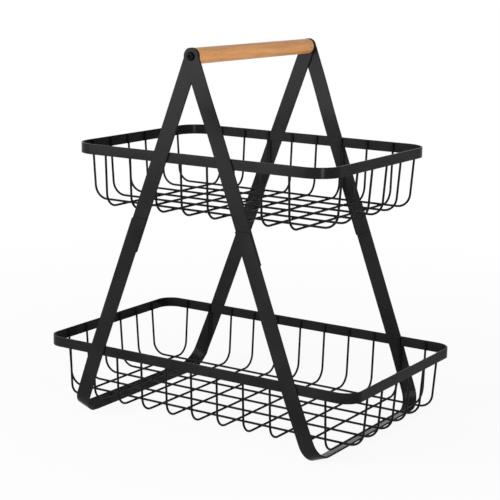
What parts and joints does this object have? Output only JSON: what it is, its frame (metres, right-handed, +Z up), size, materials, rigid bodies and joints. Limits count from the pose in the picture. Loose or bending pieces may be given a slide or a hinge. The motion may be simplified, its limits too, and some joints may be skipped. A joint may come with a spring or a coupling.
{
  "type": "tiered basket",
  "caption": "Tiered wire basket with rounded rectangular tiers in an A-shaped flat-strip frame and a wooden dowel handle.",
  "frame": {"origin": "on the counter under the middle of the basket, level with the inner edges of the foot strips", "axes": "+X along the baskets, +Y along the handle (the front is at -Y), +Z up"},
  "size_m": [0.401, 0.2462, 0.4226],
  "materials": {
    "wood": "light beech-like wood, clear satin lacquer",
    "black_strip": "satin black powder coat",
    "black_wire": "satin black powder coat",
    "black_screw": "black finish, semi-gloss",
    "brass_insert": "plain"
  },
  "bodies": {
    "root": {"handle_dowel": "wood", "handle_insert_front": "brass_insert", "handle_screw_front": "black_screw", "handle_insert_back": "brass_insert", "handle_screw_back": "black_screw", "upper_strap_front_left": "black_strip", "upper_strap_front_right": "black_strip", "upper_strap_back_left": "black_strip", "upper_strap_back_right": "black_strip", "leg_frame_left": "black_strip", "leg_frame_right": "black_strip", "top_rim": "black_strip", "bottom_rim": "black_strip", "top_cross_wire_1": "black_wire", "top_cross_wire_2": "black_wire", "top_cross_wire_3": "black_wire", "top_cross_wire_4": "black_wire", "top_cross_wire_5": "black_wire", "top_cross_wire_6": "black_wire", "top_cross_wire_7": "black_wire", "top_cross_wire_8": "black_wire", "top_long_wire_1": "black_wire", "top_long_wire_2": "black_wire", "top_long_wire_3": "black_wire", "top_long_wire_4": "black_wire", "top_long_wire_5": "black_wire", "top_long_wire_6": "black_wire", "bottom_cross_wire_1": "black_wire", "bottom_cross_wire_2": "black_wire", "bottom_cross_wire_3": "black_wire", "bottom_cross_wire_4": "black_wire", "bottom_cross_wire_5": "black_wire", "bottom_cross_wire_6": "black_wire", "bottom_cross_wire_7": "black_wire", "bottom_cross_wire_8": "black_wire", "bottom_cross_wire_9": "black_wire", "bottom_cross_wire_10": "black_wire", "bottom_cross_wire_11": "black_wire", "bottom_long_wire_1": "black_wire", "bottom_long_wire_2": "black_wire", "bottom_long_wire_3": "black_wire", "bottom_long_wire_4": "black_wire", "bottom_long_wire_5": "black_wire", "bottom_long_wire_6": "black_wire"}
  },
  "joints": []
}
